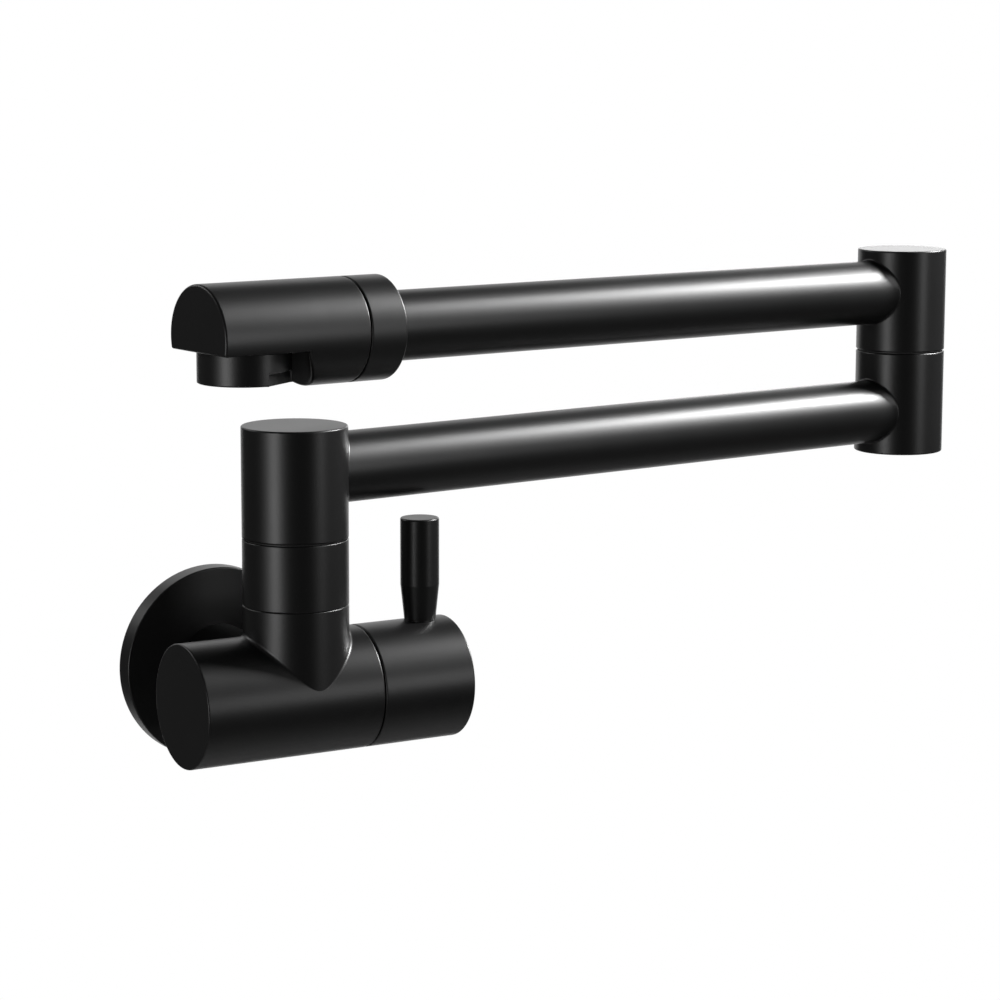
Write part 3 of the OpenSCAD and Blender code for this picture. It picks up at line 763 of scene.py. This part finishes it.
@dataclass
class SpoutHead:
    """The head of the spout, in the frame of the upper arm: X runs from the elbow's axis along the arm.

    A Boolean cut leaves faces that can't be rounded cleanly, so its two forms, the round front and the
    flat-bottomed end that grows out of it, are each laid out as one grid of points with the roundings in it.

    Args:
        elbow: the place on the elbow's axis from which X runs.
        turn: the direction of X, as an angle from the frame's X.
        radius: the radius of the head.
        start: where its front face is.
        end: where its end face is.
        outlet: where the aerator's axis is.
        step_radius: the radius, about the aerator's axis, of the hollow step that frees the aerator.
        flat: the height of the flat underside of the end, from the axis.
        rim: the radius of the front rim's rounding.
        edge: the radius of all the other roundings.
        pocket_radius: the radius of the pocket in the front face.
        pocket_end: where the pocket ends.
        join_at: where the end form starts to stand proud of the front form.
        tuck: how far the one form dips under the other where they meet.
        front_lap: how far behind that place the front form reaches, under the end form.
        tail_lap: how far in front of that place the end form starts, under the front form.
        tail_rise: how far behind that place the end form has its full size.
        tail_parts: how many lengths the end form is then divided into.
        buried: how high over the flat the hidden back of the front form lies.
        back_gap: how far that back lies behind the pocket, at the axis.
        screw_radius: the radius of the set screw's hole, in the underside.
        screw_at: where that hole is.
        screw_faces: how many faces go round it.
        spare: how far its cutting tool reaches past the wall.
        front_rows: where the lines of points round the front are, from its front face.
        rounding_steps: how many faces go over a rounding.
        columns: how many lines of points stand round the front.
        corner_gap: half the angle between the two lines at a corner of the flat.
        arch_steps: how many faces go over the round side of the end.
        flat_steps: how many faces go over its flat.
    """

    elbow: Point = (*ELBOW_XY, UPPER_ARM_Z)
    turn: float = UPPER_ARM_TURN
    radius: float = 16.35 * MM
    start: float = 234.4 * MM
    end: float = 285.6 * MM
    outlet: float = 269.5 * MM
    step_radius: float = 19.9 * MM
    flat: float = -4.2 * MM
    rim: float = 0.5 * MM
    edge: float = 0.8 * MM
    pocket_radius: float = 10.06 * MM
    pocket_end: float = 247.4 * MM
    join_at: float = 248.8 * MM
    tuck: float = 0.03 * MM
    front_lap: float = 0.6 * MM
    tail_lap: float = 0.4 * MM
    tail_rise: float = 0.2 * MM
    tail_parts: int = 5
    buried: float = 1.2 * MM
    back_gap: float = 2 * MM
    screw_radius: float = 2.02 * MM
    screw_at: float = 238.4 * MM
    screw_faces: int = 48
    spare: float = 1 * MM
    front_rows: Sequence[float] = (2.4 * MM, 4 * MM, 6 * MM, 9 * MM, 12 * MM)
    rounding_steps: int = 6
    columns: int = 240
    corner_gap: float = 0.006
    arch_steps: int = 160
    flat_steps: int = 24

    def build(self, shop: Workshop) -> None:
        """Makes the head from its two forms, with the hole of the set screw.

        Args:
            shop: the workshop that finishes the pieces.
        """
        front = lay_grid("head_front", [self.front_column(turn) for turn in self.turns()])
        outside, inside = -self.radius - self.spare, -self.pocket_radius + self.spare
        screw = rod(self.screw_radius, outside, inside, self.screw_faces)
        screw.location.x = self.screw_at
        carve(front, screw)
        tail = lay_grid("head_tail", [list(line) for line in zip(*self.tail_rows())])
        pick(front)
        tail.select_set(True)
        bpy.ops.object.join()
        front.matrix_world = Matrix.Translation(self.elbow) @ Matrix.Rotation(self.turn, 4, "Z")
        shop.hand_over(front, "head_shell", "spout", Slot.BLACK_COAT, ["spout_head"])

    def corner(self) -> float:
        """The angle of the corner between the flat and the round side, above the level."""
        return math.asin((self.flat + self.edge) / (self.radius - self.edge))

    def turns(self) -> list[float]:
        """The angles of the front's columns, with a close pair at each corner of the flat.

        Returns:
            The angles, in order.
        """
        low = self.corner()
        turns = [2 * math.pi * step / self.columns for step in range(self.columns)]
        for corner in (low % (2 * math.pi), math.pi - low):
            turns += [corner - self.corner_gap, corner + self.corner_gap]
        return sorted(turns)

    def front_column(self, turn: float) -> list[Vector]:
        """One line of points over the front, from its pocket to behind its step.

        Args:
            turn: the angle round the axis.

        Returns:
            The points.
        """
        side, up = math.cos(turn), math.sin(turn)

        def at(x: float, radius: float) -> Vector:
            """A point of this column."""
            return Vector((x, radius * side, radius * up))

        column = [at(self.pocket_end, self.pocket_radius), at(self.start, self.pocket_radius)]
        for step in range(self.rounding_steps + 1):
            tilt = math.pi / 2 * step / self.rounding_steps
            x = self.start + self.rim * (1 - math.cos(tilt))
            column.append(at(x, self.radius - self.rim * (1 - math.sin(tilt))))
        column += [at(self.start + row, self.radius) for row in self.front_rows]
        ball_radius = self.radius - self.edge
        if ball_radius * up < self.flat + self.edge:
            ball = at(0, ball_radius)
            far = self.step_radius + self.edge
            ball.x = self.outlet - math.sqrt(far**2 - ball.y**2)
            out, in_step = Vector((0, side, up)), Vector((self.outlet - ball.x, -ball.y, 0)) / far
            spread = out.angle(in_step)
            for step in range(self.rounding_steps + 1):
                part = step / self.rounding_steps
                way = out * math.sin((1 - part) * spread) + in_step * math.sin(part * spread)
                column.append(ball + way * (self.edge / math.sin(spread)))
            column.append(Vector((column[-1].x, column[-1].y, self.flat + self.buried)))
        else:
            for step in range(self.rounding_steps + 2):
                part = step / (self.rounding_steps + 1)
                x = self.join_at + part * self.front_lap
                column.append(at(x, self.radius - part * self.tuck))
        column.append(at(self.pocket_end + self.back_gap, self.buried))
        return column

    def tail_rows(self) -> list[list[Vector]]:
        """The sections of the flat-bottomed end, from inside the front to the end face.

        Returns:
            The outline at each place.
        """
        rows = [self.tail_section(self.join_at - self.tail_lap, self.tuck)]
        rows.append(self.tail_section(self.join_at + self.tail_rise, 0))
        for step in range(1, self.tail_parts):
            part = step / self.tail_parts
            rows.append(self.tail_section(self.join_at + part * (self.end - self.join_at), 0))
        for step in range(self.rounding_steps + 1):
            tilt = math.pi / 2 * step / self.rounding_steps
            inset = self.edge * (1 - math.cos(tilt))
            rows.append(self.tail_section(self.end - self.edge * (1 - math.sin(tilt)), inset))
        return rows

    def tail_section(self, x: float, inset: float) -> list[Vector]:
        """The outline of the end at one place along it.

        Args:
            x: the place.
            inset: how far the outline lies inside the full one.

        Returns:
            The points, once round.
        """
        low = self.corner()
        reach = (self.radius - self.edge) * math.cos(low)
        level = self.flat + self.edge
        bend = self.edge - inset
        full = self.radius - inset
        points = []
        for step in range(self.arch_steps + 1):
            turn = low + (math.pi - 2 * low) * step / self.arch_steps
            points.append(Vector((x, full * math.cos(turn), full * math.sin(turn))))
        for step in range(1, self.rounding_steps + 1):
            turn = math.pi - low + (math.pi / 2 + low) * step / self.rounding_steps
            points.append(Vector((x, -reach + bend * math.cos(turn), level + bend * math.sin(turn))))
        for step in range(1, self.flat_steps):
            points.append(Vector((x, reach * (2 * step / self.flat_steps - 1), level - bend)))
        for step in range(self.rounding_steps):
            turn = -math.pi / 2 + (math.pi / 2 + low) * step / self.rounding_steps
            points.append(Vector((x, reach + bend * math.cos(turn), level + bend * math.sin(turn))))
        return points


@dataclass
class Aerator:
    """The aerator under the head: its housing with two key slots, and the nozzles of its jets.

    Args:
        centre: a place on its axis, as x and y.
        radius: the radius of the housing.
        top: the height of the housing's top face, which is the flat of the head.
        height: the height of the housing.
        neck_radius: the radius of the neck that is screwed into the head.
        neck_height: the height of that neck.
        bore: the radius of the housing's bore.
        mouth: the radius of its opening, inside the lip.
        lip: the thickness of the lip that holds the insert.
        top_edge: the radius of the rounding at the top.
        bottom_edge: the radius of the rounding at the bottom.
        slot_turn: where the first key slot is, in degrees round the axis.
        slot_width: the width of a key slot.
        slot_height: the height of a key slot.
        slot_depth: the depth of a key slot.
        slot_corner: the radius of a key slot's upper corners.
        slot_steps: how many faces go over such a corner.
        faces: how many faces go round the housing, and how many round its neck and its bores.
        nozzle_radius: the radius of a nozzle's collar, to the middle of its wall.
        nozzle_wall: the radius of the collar's rounded wall.
        nozzle_stretch: how many times higher than round the collar is.
        nozzle_faces: how many faces go round a collar, and how many over its wall.
        ring_pitch: the distance from one ring of jets to the next.
        jets: the number of jets in each ring, from the middle one outwards.
        spare: how far a cutting tool reaches past what it cuts.
    """

    centre: tuple[float, float] = (-13.6241 * MM, -57.1469 * MM)
    radius: float = 14.35 * MM
    top: float = 106.94 * MM
    height: float = 9.75 * MM
    neck_radius: float = 12 * MM
    neck_height: float = 6.4 * MM
    bore: float = 10.2 * MM
    mouth: float = 9.2 * MM
    lip: float = 1.2 * MM
    top_edge: float = 0.3 * MM
    bottom_edge: float = 0.5 * MM
    slot_turn: float = -56.0
    slot_width: float = 14.4 * MM
    slot_height: float = 4.1 * MM
    slot_depth: float = 2.3 * MM
    slot_corner: float = 0.8 * MM
    slot_steps: int = 6
    faces: tuple[int, int] = (144, 96)
    nozzle_radius: float = 1.25 * MM
    nozzle_wall: float = 0.3 * MM
    nozzle_stretch: float = 2.2
    nozzle_faces: tuple[int, int] = (28, 10)
    ring_pitch: float = 3.6 * MM
    jets: Sequence[int] = (1, 6, 12)
    spare: float = 1 * MM

    def build(self, shop: Workshop) -> None:
        """Makes the housing and the nozzles.

        Args:
            shop: the workshop that finishes the pieces.
        """
        shop.hand_over(
            self.make_housing(), "aerator_shell", "spout", Slot.BLACK_COAT, ["aerator_housing"]
        )
        shop.hand_over(self.make_nozzles(), "jet_nozzles", "spout", Slot.AERATOR_PLASTIC)

    def make_housing(self) -> bpy.types.Object:
        """Turns the housing, bores it and mills its slots.

        Returns:
            The housing, in its place.
        """
        bottom = self.top - self.height
        outer, inner = self.faces
        shell = rod(self.radius, bottom, self.top, outer)
        neck = rod(self.neck_radius, self.top - self.spare, self.top + self.neck_height, inner)
        carve(shell, neck, "UNION")
        carve(shell, rod(self.bore, bottom + self.lip, self.top + 2 * self.neck_height, inner))
        carve(shell, rod(self.mouth, bottom - self.spare, bottom + 2 * self.lip, inner))
        high = bottom + self.slot_height
        middle = self.radius + (2 * self.spare - self.slot_depth) / 2
        for side in (0, math.pi):
            tool = block(
                (self.radius - self.slot_depth, -self.slot_width / 2, bottom - self.spare),
                (self.radius + 2 * self.spare, self.slot_width / 2, high),
            )
            round_edges(
                tool,
                self.slot_corner,
                lambda at: at.z > high - NEAR and abs(at.x - middle) < NEAR,
                self.slot_steps,
            )
            tool.rotation_euler = (0, 0, side)
            carve(shell, tool)
        round_edges(
            shell,
            self.top_edge,
            lambda at: at.z > self.top - NEAR and math.hypot(at.x, at.y) > self.neck_radius + self.spare,
        )
        round_edges(
            shell,
            self.bottom_edge,
            lambda at: at.z < bottom + NEAR and math.hypot(at.x, at.y) > self.radius - NEAR,
        )
        shell.matrix_world = self.place() @ Matrix.Rotation(math.radians(self.slot_turn), 4, "Z")
        return shell

    def make_nozzles(self) -> bpy.types.Object:
        """Makes one nozzle, copies it to every jet and joins the copies.

        Returns:
            All the nozzles, in their place.
        """
        face = self.top - self.height + self.lip
        bpy.ops.mesh.primitive_torus_add(
            major_segments=self.nozzle_faces[0],
            minor_segments=self.nozzle_faces[1],
            major_radius=self.nozzle_radius,
            minor_radius=self.nozzle_wall,
            location=(0, 0, face),
        )
        first = bpy.context.object
        first.scale.z = self.nozzle_stretch
        pick(first)
        bpy.ops.object.transform_apply(location=True, rotation=True, scale=True)
        nozzles = []
        for ring, count in enumerate(self.jets):
            for step in range(count):
                turn = 2 * math.pi * step / count
                reach = ring * self.ring_pitch
                nozzle = first.copy()
                nozzle.data = first.data.copy()
                nozzle.location = (reach * math.cos(turn), reach * math.sin(turn), 0)
                bpy.context.scene.collection.objects.link(nozzle)
                nozzles.append(nozzle)
        bpy.data.objects.remove(first)
        pick(nozzles[0])
        for nozzle in nozzles:
            nozzle.select_set(True)
        bpy.ops.object.join()
        joined = bpy.context.object
        bpy.ops.object.transform_apply(location=True, rotation=True, scale=True)
        joined.matrix_world = self.place() @ Matrix.Rotation(UPPER_ARM_TURN, 4, "Z")
        return joined

    def place(self) -> Matrix:
        """The way from the aerator's axis to its place in the frame."""
        return Matrix.Translation((*self.centre, 0))


@dataclass
class InletNipple:
    """The brass nipple that is screwed into the neck and the wall, with the thread cut on it.

    Args:
        radius: its outer radius, over the thread.
        thread_depth: the depth of the thread.
        pitch: the distance from one turn of the thread to the next.
        bore: the radius of the waterway.
        front: where its front end is, along Y.
        back: where its back end is.
        relief: where the plain groove between the two threaded lengths starts and ends.
        bevel: the width of the bevel at each end.
        tooth_slope: how steep a flank of the thread is, where 2 is a plain zigzag.
        crest: how much of the zigzag is cut off at the crest.
        sides: how many points stand round it.
        rows_per_turn: how many rows of points a turn of the thread has.
    """

    radius: float = 10.48 * MM
    thread_depth: float = 1.162 * MM
    pitch: float = 1.814 * MM
    bore: float = 6.5 * MM
    front: float = -14 * MM
    back: float = 16 * MM
    relief: tuple[float, float] = (-2 * MM, -1 * MM)
    bevel: float = 1.2 * MM
    tooth_slope: float = 2.6
    crest: float = 0.15
    sides: int = 96
    rows_per_turn: int = 10

    def build(self, shop: Workshop) -> None:
        """Makes the nipple. A screw thread that runs out at its ends is worked out point by point.

        Args:
            shop: the workshop that finishes the pieces.
        """
        rows = math.ceil((self.back - self.front) / self.pitch * self.rows_per_turn)
        step = (self.back - self.front) / rows
        points, faces = [], []
        for row in range(rows + 1):
            y = self.front + row * step
            for side in range(self.sides):
                turn = 2 * math.pi * side / self.sides
                radius = self.radius_at(y, turn)
                points.append((radius * math.cos(turn), y, radius * math.sin(turn)))
        for y in (self.back, self.front):
            for side in range(self.sides):
                turn = 2 * math.pi * side / self.sides
                points.append((self.bore * math.cos(turn), y, self.bore * math.sin(turn)))
        rings = rows + 3
        for ring in range(rings):
            here, there = ring * self.sides, (ring + 1) % rings * self.sides
            for side in range(self.sides):
                after = (side + 1) % self.sides
                faces.append((here + side, there + side, there + after, here + after))
        nipple = close_form("nipple", points, faces)
        shop.hand_over(nipple, "threaded_nipple", "wall_body", Slot.RAW_BRASS, ["inlet_nipple"])

    def radius_at(self, y: float, turn: float) -> float:
        """The nipple's radius at one place.

        Args:
            y: the distance behind the wall plane.
            turn: the angle round the axis.

        Returns:
            The radius of the thread there, or of the relief or the bevel.
        """
        if self.relief[0] < y < self.relief[1]:
            return self.radius - self.thread_depth
        phase = (y / self.pitch - turn / (2 * math.pi)) % 1
        tooth = min(1.0, max(0.0, self.tooth_slope * abs(phase - 0.5) - self.crest))
        from_end = min(y - self.front, self.back - y)
        under = max(0.0, self.bevel - from_end)
        return min(self.radius - self.thread_depth * tooth, self.radius - under)


@dataclass(frozen=True)
class Softbox:
    """A rectangular lamp that looks at the middle of the part.

    Args:
        name: the lamp's name.
        turn: how far it stands to the right of the room's side of the part, in degrees.
        lift: how far it stands above the level, in degrees.
        reach: its distance from the middle of the part.
        width: its level side.
        height: its other side.
        radiance: how bright its face is, where a sheet of white paper in full light is 1.
    """

    name: str
    turn: float
    lift: float
    reach: float
    width: float
    height: float
    radiance: float

    def hang(self, middle: Vector) -> None:
        """Makes the lamp.

        Args:
            middle: the place that it looks at.
        """
        turn, lift = math.radians(self.turn), math.radians(self.lift)
        out = Vector((math.sin(turn) * math.cos(lift), -math.cos(turn) * math.cos(lift), math.sin(lift)))
        data = bpy.data.lights.new(self.name, "AREA")
        data.shape = "RECTANGLE"
        data.size = self.width
        data.size_y = self.height
        data.energy = self.radiance * math.pi * self.width * self.height
        lamp = bpy.data.objects.new(self.name, data)
        lamp.rotation_euler = (-out).to_track_quat("-Z", "Y").to_euler()
        lamp.location = middle + self.reach * out
        lamp.visible_camera = False
        bpy.context.scene.collection.objects.link(lamp)


@dataclass
class Studio:
    """The camera at the photograph's place, the lamps, the floor and the white board behind.

    Args:
        eye: the place of the camera.
        right: the direction that runs to the right in the picture.
        down: the direction that runs down in the picture.
        forward: the direction in which the camera looks.
        lens: the focal length in mm.
        sensor_width: the width of the sensor in mm.
        clip: the nearest and the farthest distance that the camera sees.
        part_middle: the place that the lamps look at.
        floor_z: the height of the floor.
        floor_side: the side of the floor.
        board_from_eye: how far the white board stands from the camera.
        board_width: the width of the board.
        board_height: the height of the board.
        board_middle_z: the height of the board's middle.
        board_grey: the grey of the board's own paint.
        room_grey: the grey of the room round it all.
        softboxes: the lamps.
    """

    eye: Point = (-0.40352, -0.86899, 0.20516)
    right: Point = (0.86138172, -0.50795445, 0.00195116)
    down: Point = (-0.07862967, -0.13713196, -0.98742706)
    forward: Point = (0.50183553, 0.8503982, -0.15806325)
    lens: float = 108.20
    sensor_width: float = 36.0
    clip: tuple[float, float] = (0.01, 100.0)
    part_middle: Point = (0.117, -0.05, 0.05)
    floor_z: float = -2.0
    floor_side: float = 12.0
    board_from_eye: float = 3.1
    board_width: float = 2.8
    board_height: float = 3.0
    board_middle_z: float = 0.1
    board_grey: float = 0.8
    room_grey: float = 0.06
    softboxes: Sequence[Softbox] = field(
        default_factory=lambda: (
            Softbox("key_strip", 78, 33.5, 1.1, 0.14, 0.33, 168.0),
            Softbox("key_top", 80, 46.5, 1.1, 0.15, 0.15, 40.0),
            Softbox("right_back", 102, 38, 1.1, 0.13, 0.16, 27.0),
            Softbox("right_front", 62, 38, 1.1, 0.2, 0.2, 7.0),
            Softbox("right_low", 55, 24, 1.3, 0.3, 0.3, 3.6),
            Softbox("front_low", 26, 5, 1.3, 0.32, 0.46, 3.9),
            Softbox("left_wide", -72, -5, 1.3, 0.4, 0.38, 5.4),
            Softbox("left_soft", -74, -5, 1.3, 1.0, 0.38, 0.9),
            Softbox("elbow_back", 137.6, 8, 1.3, 0.35, 0.35, 3.0),
            Softbox("back_fill", 222, 25, 1.3, 0.7, 0.5, 2.2),
        )
    )

    def build(self) -> None:
        """Makes all of it."""
        self.stand_camera()
        self.light_room()
        for box in self.softboxes:
            box.hang(Vector(self.part_middle))
        self.lay_floor()
        self.raise_board()

    def stand_camera(self) -> None:
        """Makes the camera of the photograph."""
        data = bpy.data.cameras.new("photo_camera")
        data.lens = self.lens
        data.sensor_width = self.sensor_width
        data.clip_start, data.clip_end = self.clip
        camera = bpy.data.objects.new("photo_camera", data)
        turned = Matrix((self.right, [-x for x in self.down], [-x for x in self.forward])).transposed()
        camera.matrix_world = Matrix.Translation(self.eye) @ turned.to_4x4()
        bpy.context.scene.collection.objects.link(camera)
        bpy.context.scene.camera = camera

    def light_room(self) -> None:
        """Gives the room round the object one grey."""
        world = bpy.data.worlds.new("room")
        world.use_nodes = True
        sheet = Sheet(world.node_tree)
        sky = sheet.node("ShaderNodeBackground", None, {"Color": (self.room_grey,) * 3, "Strength": 1.0})
        sheet.node("ShaderNodeOutputWorld", None, {"Surface": sky.outputs["Background"]})
        bpy.context.scene.world = world

    def lay_floor(self) -> None:
        """Makes the pale floor."""
        bpy.ops.mesh.primitive_plane_add(size=self.floor_side, location=(0, 0, self.floor_z))
        floor = bpy.context.object
        floor.name = "floor"
        floor.data.materials.append(Coat("pale_floor", (0.78, 0.78, 0.78), (0.82, 0.82, 0.82), 0.8).make())

    def raise_board(self) -> None:
        """Makes the white board that fills the view behind the object."""
        middle = Vector(self.eye) + Vector(self.forward) * self.board_from_eye
        middle.z = self.board_middle_z
        bpy.ops.mesh.primitive_plane_add(size=1.0, location=middle)
        board = bpy.context.object
        board.name = "backdrop"
        level = Vector((self.forward[0], self.forward[1], 0))
        board.rotation_euler = (-level).to_track_quat("Z", "Y").to_euler()
        board.scale = (self.board_width, self.board_height, 1.0)
        material = bpy.data.materials.new("white_board")
        material.use_nodes = True
        sheet = Sheet(material.node_tree)
        rays = sheet.node("ShaderNodeLightPath").outputs
        seen = Wire(sheet, rays["Is Camera Ray"])
        seen = seen + Wire(sheet, rays["Is Glossy Ray"]) + Wire(sheet, rays["Is Transmission Ray"])
        paint = sheet.node("ShaderNodeBsdfDiffuse", None, {"Color": (self.board_grey,) * 3})
        glow = sheet.node("ShaderNodeEmission", None, {"Color": (1.0, 1.0, 1.0), "Strength": 1.0})
        mixed = sheet.node(
            "ShaderNodeMixShader",
            None,
            {0: seen.at_most(1.0), 1: paint.outputs["BSDF"], 2: glow.outputs["Emission"]},
        )
        sheet.node("ShaderNodeOutputMaterial", None, {"Surface": mixed.outputs["Shader"]})
        board.data.materials.append(material)


def dress_nodes(shop: Workshop) -> None:
    """Gives each CAD node the finish of its slot.

    Args:
        shop: the workshop with the frame and the finishes.
    """
    slot_of = {part["node"]: Slot(part["material_slot"]) for part in shop.frame["record"]["subparts"]}
    for name, node in shop.frame["nodes"].items():
        for place in node.material_slots:
            place.material = shop.paints[slot_of[name]]
        LOG.info("%s: %s", name, slot_of[name].value)


def sub_assemblies() -> list[InletNipple | ValveBody | Handle | Post | SwingArm | SpoutHead | Aerator]:
    """Lists the sub-assemblies, in the order in which they are built.

    Returns:
        One object for each, with its sizes.
    """
    out = (ELBOW_XY[0] - RISER_XY[0], ELBOW_XY[1] - RISER_XY[1], 0)
    home = (-0.99536, -0.09619, 0)
    stub = [(28.6 * MM, True, FINE_BEVEL)]
    sleeve = [(28.6 * MM, False, FINE_BEVEL), (48.9 * MM, True, FINE_BEVEL)]
    swivel = [(49.3 * MM, False, FINE_BEVEL), (83.6 * MM, True, PLAIN_BEVEL)]
    lower = [(54.64 * MM, False, PLAIN_BEVEL), (90.24 * MM, True, PLAIN_BEVEL)]
    upper = [(90.64 * MM, False, PLAIN_BEVEL), (125.84 * MM, True, PLAIN_BEVEL)]
    collar = (221.1 * MM, 234.0 * MM)
    return [
        InletNipple(),
        ValveBody(),
        Handle(),
        Post("riser_rims", "wall_body", RISER_XY, RISER_RADIUS, stub + sleeve),
        Post("swivel_rims", "lower_arm", RISER_XY, RISER_RADIUS, swivel),
        Post("elbow_lower_rims", "lower_arm", ELBOW_XY, ELBOW_RADIUS, lower),
        Post("elbow_upper_rims", "upper_arm", ELBOW_XY, ELBOW_RADIUS, upper),
        SwingArm("lower_arm", RISER_XY, RISER_RADIUS, out, LOWER_ARM_Z, ELBOW_XY, ELBOW_RADIUS),
        SwingArm("upper_arm", ELBOW_XY, ELBOW_RADIUS, home, UPPER_ARM_Z, collar=collar),
        SpoutHead(),
        Aerator(),
    ]


def main() -> None:
    """Builds the scene."""
    logging.basicConfig(level=logging.INFO, format="%(name)s %(message)s")
    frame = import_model()
    bpy.context.scene.view_settings.view_transform = "Standard"
    shop = Workshop(frame)
    dress_nodes(shop)
    for assembly in sub_assemblies():
        assembly.build(shop)
        LOG.info("%s is done", type(assembly).__name__)
    Studio().build()


if __name__ == "__main__":
    main()
